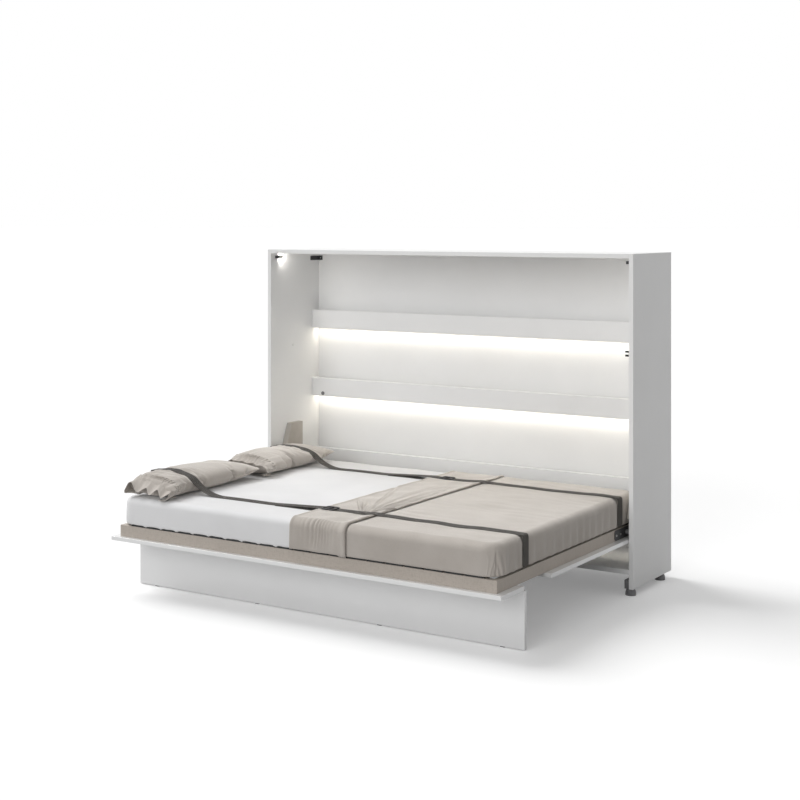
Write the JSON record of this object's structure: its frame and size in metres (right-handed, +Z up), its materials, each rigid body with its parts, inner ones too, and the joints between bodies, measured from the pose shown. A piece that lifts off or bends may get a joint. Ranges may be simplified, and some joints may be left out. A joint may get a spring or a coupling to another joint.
{
  "type": "cabinet bed",
  "caption": "White horizontal cabinet bed shown open: book ledges with strip lights in the recess, and a slatted bed on a folding leg panel with gas springs.",
  "frame": {"origin": "on the floor, in the middle of the open bed with its cabinet (middle of the bounding box's base)", "axes": "+Z up; +Y from the room towards the wall behind the cabinet; +X to the right as seen from the room, along the cabinet's length"},
  "size_m": [2.116, 1.683, 1.58],
  "materials": {
    "white_board": "smooth white laminate with eased edges",
    "gloss_front": "high-gloss white lacquer",
    "channel_metal": "satin anodised",
    "diffuser": "opal, lit from inside",
    "dark_plastic": "fine matt",
    "white_plastic": "smooth",
    "grey_plastic": "moulded, fine matt grey",
    "dark_steel": "black powder coat",
    "plate_steel": "zinc plated",
    "bright_steel": "zinc plated",
    "spring_black": "smooth black enamel",
    "rod_chrome": "polished",
    "buffer_rubber": "matt",
    "holder_rubber": "matt black",
    "foot_plastic": "matt grey",
    "taupe_rail": "taupe laminate, fine linen grain",
    "slat_wood": "pale sprung beech veneer",
    "mattress_cover": "white stretch sheet",
    "beige_cloth": "soft cotton, matt",
    "strap_webbing": "woven webbing"
  },
  "bodies": {
    "cabinet": {"side_left": "white_board", "side_right": "white_board", "top_board": "white_board", "bottom_board": "white_board", "back_panel": "white_board", "lip_upper": "white_board", "lip_middle": "white_board", "lip_lower": "white_board", "shelf_upper": "white_board", "shelf_middle": "white_board", "shelf_lower": "white_board", "light_channels": "channel_metal", "light_diffusers": "diffuser", "switch_ring": "dark_plastic", "corner_lamps": "dark_plastic", "lamp_lenses": "diffuser", "wall_brackets": "dark_steel", "cover_caps": "white_plastic", "door_buffers": "buffer_rubber", "feet": "foot_plastic", "foot_blocks": "foot_plastic", "mechanism_plate_left": "plate_steel", "mechanism_plate_right": "plate_steel", "mechanism_cover_left": "grey_plastic", "mechanism_cover_right": "grey_plastic", "pivot_bushes": "foot_plastic", "spring_anchors": "bright_steel", "plate_screws": "bright_steel"},
    "bed": {"front_strip": "gloss_front", "main_panel": "gloss_front", "hinge_leaf_strip": "bright_steel", "hinge_pin": "bright_steel", "rail_front": "taupe_rail", "rail_rear": "taupe_rail", "rail_left": "taupe_rail", "rail_right": "taupe_rail", "centre_rail": "taupe_rail", "corner_angles": "dark_steel", "slats": "slat_wood", "slat_holders": "holder_rubber", "hinge_arm_left": "dark_steel", "hinge_arm_right": "dark_steel", "arm_pins": "bright_steel", "arm_screws": "bright_steel", "mattress": "mattress_cover", "duvet": "beige_cloth", "duvet_band": "beige_cloth", "pillow_front": "beige_cloth", "pillow_rear": "beige_cloth", "strap_front": "strap_webbing", "strap_rear": "strap_webbing", "strap_buckles": "dark_plastic"},
    "leg": {"leg_panel": "gloss_front", "hinge_leaf_leg": "bright_steel", "leg_glides": "foot_plastic"},
    "cylinder_left": {"spring_cylinder_left": "spring_black"},
    "cylinder_right": {"spring_cylinder_right": "spring_black"},
    "rod_left": {"spring_rod_left": "rod_chrome"},
    "rod_right": {"spring_rod_right": "rod_chrome"},
    "button": {"switch_button": "dark_plastic"}
  },
  "joints": [
    {"name": "bed_fold", "type": "hinge", "parent": "cabinet", "child": "bed", "pos_m": [0, 0.4255, 0.288], "axis": [-1, 0, 0], "range_deg": [0, 90]},
    {"name": "leg_fold", "type": "hinge", "parent": "bed", "child": "leg", "pos_m": [0, -0.6441, 0.244], "axis": [1, 0, 0], "range_deg": [0, 90]},
    {"name": "spring_swing_left", "type": "hinge", "parent": "cabinet", "child": "cylinder_left", "pos_m": [-1.019, 0.5815, 0.59], "axis": [-1, 0, 0], "range_deg": [0, 8.1]},
    {"name": "spring_swing_right", "type": "hinge", "parent": "cabinet", "child": "cylinder_right", "pos_m": [1.019, 0.5815, 0.59], "axis": [-1, 0, 0], "range_deg": [0, 8.1]},
    {"name": "spring_stroke_left", "type": "slide", "parent": "cylinder_left", "child": "rod_left", "axis": [0, -0.244, -0.9698], "range_m": [0, 0.1013]},
    {"name": "spring_stroke_right", "type": "slide", "parent": "cylinder_right", "child": "rod_right", "axis": [0, -0.244, -0.9698], "range_m": [0, 0.1013]},
    {"name": "switch_press", "type": "slide", "parent": "cabinet", "child": "button", "axis": [0, 1, 0], "range_m": [0, 0.0015], "stiffness_N_per_m": 900}
  ],
  "couplings": [
    {"joint": "spring_swing_left", "follows": "bed_fold", "ratio": 0.089872},
    {"joint": "spring_swing_right", "follows": "bed_fold", "ratio": 0.089872},
    {"joint": "spring_stroke_left", "follows": "bed_fold", "m_per_rad": 0.064432},
    {"joint": "spring_stroke_right", "follows": "bed_fold", "m_per_rad": 0.064432}
  ]
}
